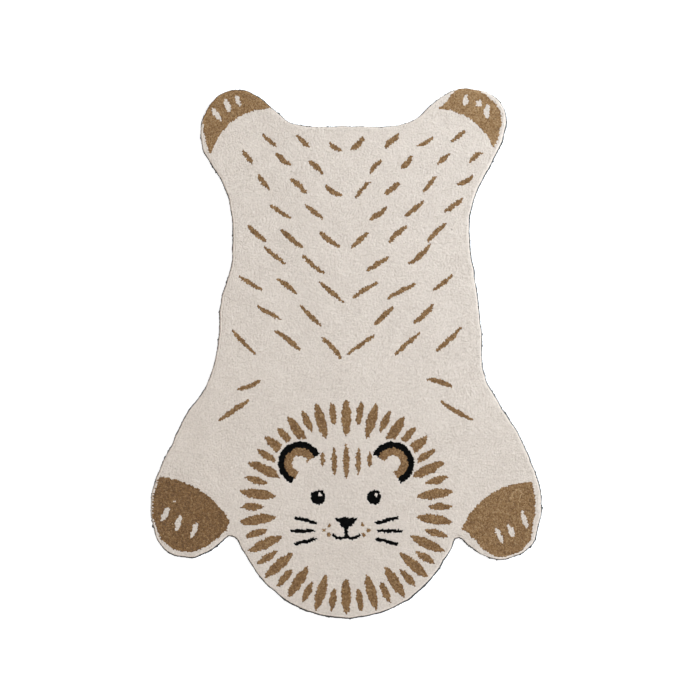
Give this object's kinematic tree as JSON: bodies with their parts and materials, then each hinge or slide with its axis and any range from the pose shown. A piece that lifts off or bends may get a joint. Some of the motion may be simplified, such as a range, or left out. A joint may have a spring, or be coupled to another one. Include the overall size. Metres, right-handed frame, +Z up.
{
  "type": "animal shaped kids rug",
  "caption": "Flat hand-tufted wool rug with the outline of an animal's hide: round head, rounded paws and a straight tail edge, on a thin glued backing cloth.",
  "frame": {"origin": "on the floor, under the middle of the rug's length and width", "axes": "+Z up out of the pile, +Y towards the hind paws and the tail edge, -Y towards the chin, +X to the right seen from above with the head at the bottom"},
  "size_m": [0.811, 1.1, 0.013],
  "materials": {
    "wool_pile": "matt cut wool pile, cream with brown and black yarn let in, lightly heathered",
    "backing": "matt plain-woven dark grey cotton cloth"
  },
  "bodies": {
    "root": {"tufted_pile": "wool_pile", "backing_cloth": "backing"}
  },
  "joints": []
}
